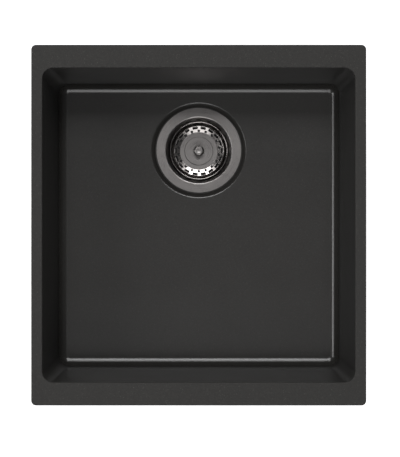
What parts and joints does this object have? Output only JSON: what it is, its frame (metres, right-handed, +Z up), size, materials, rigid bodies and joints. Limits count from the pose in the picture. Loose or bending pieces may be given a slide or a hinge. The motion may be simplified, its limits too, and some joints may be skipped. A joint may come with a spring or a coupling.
{
  "type": "kitchen sink",
  "caption": "Square single-bowl undermount kitchen sink in black granite composite, with swing support arms, a basket strainer with stopper, and a plastic waste body with coupling nut.",
  "frame": {"origin": "centre of the bowl's opening, on the flat top face of the rim", "axes": "+Z up out of the bowl, +Y towards the rear, where the outlet is, +X to the right"},
  "size_m": [0.418, 0.45, 0.3],
  "materials": {
    "granite": "matt, finely speckled black granite composite",
    "strainer_steel": "brushed steel flange, dark polished cup and basket",
    "bright_steel": "plain stainless steel",
    "zinc_steel": "zinc-plated steel",
    "brass": "turned brass",
    "rubber": "black rubber",
    "white_plastic": "white polypropylene"
  },
  "bodies": {
    "sink": {"bowl": "granite", "rim_inserts": "brass", "arm_washers": "zinc_steel", "arm_screws": "zinc_steel", "strainer_cup": "strainer_steel", "flange_gasket": "rubber", "outlet_gasket": "rubber", "waste_body": "white_plastic", "centre_screw": "bright_steel", "centre_washer": "bright_steel", "clamp_nut": "brass"},
    "front_left_arm": {"arm_front_left": "zinc_steel"},
    "front_right_arm": {"arm_front_right": "zinc_steel"},
    "rear_left_arm": {"arm_rear_left": "zinc_steel"},
    "rear_right_arm": {"arm_rear_right": "zinc_steel"},
    "basket": {"basket_shell": "strainer_steel", "basket_knob": "strainer_steel", "stopper_seal": "rubber", "seal_retainer": "bright_steel", "stem_clip": "bright_steel", "grip_ring": "bright_steel"},
    "washer": {"cone_washer": "rubber"},
    "nut": {"coupling_nut": "white_plastic"}
  },
  "joints": [
    {"name": "basket_lift", "type": "slide", "parent": "sink", "child": "basket", "axis": [0, 0, 1], "range_m": [0, 0.24]},
    {"name": "front_left_swing", "type": "hinge", "parent": "sink", "child": "front_left_arm", "pos_m": [-0.15, -0.21302, -0.0204], "axis": [0, 0, -1], "range_deg": [0, 90]},
    {"name": "front_right_swing", "type": "hinge", "parent": "sink", "child": "front_right_arm", "pos_m": [0.15, -0.21302, -0.0204], "axis": [0, 0, 1], "range_deg": [0, 90]},
    {"name": "rear_left_swing", "type": "hinge", "parent": "sink", "child": "rear_left_arm", "pos_m": [-0.15, 0.21302, -0.0204], "axis": [0, 0, 1], "range_deg": [0, 90]},
    {"name": "rear_right_swing", "type": "hinge", "parent": "sink", "child": "rear_right_arm", "pos_m": [0.15, 0.21302, -0.0204], "axis": [0, 0, -1], "range_deg": [0, 90]},
    {"name": "nut_travel", "type": "slide", "parent": "sink", "child": "washer", "axis": [0, 0, -1], "range_m": [0, 0.01385]},
    {"name": "nut_turn", "type": "hinge", "parent": "washer", "child": "nut", "pos_m": [0, 0.1, -0.286], "axis": [0, 0, -1], "range_deg": [0, 2160]}
  ],
  "couplings": [
    {"joint": "nut_turn", "follows": "nut_travel", "rad_per_m": 2721.2}
  ]
}
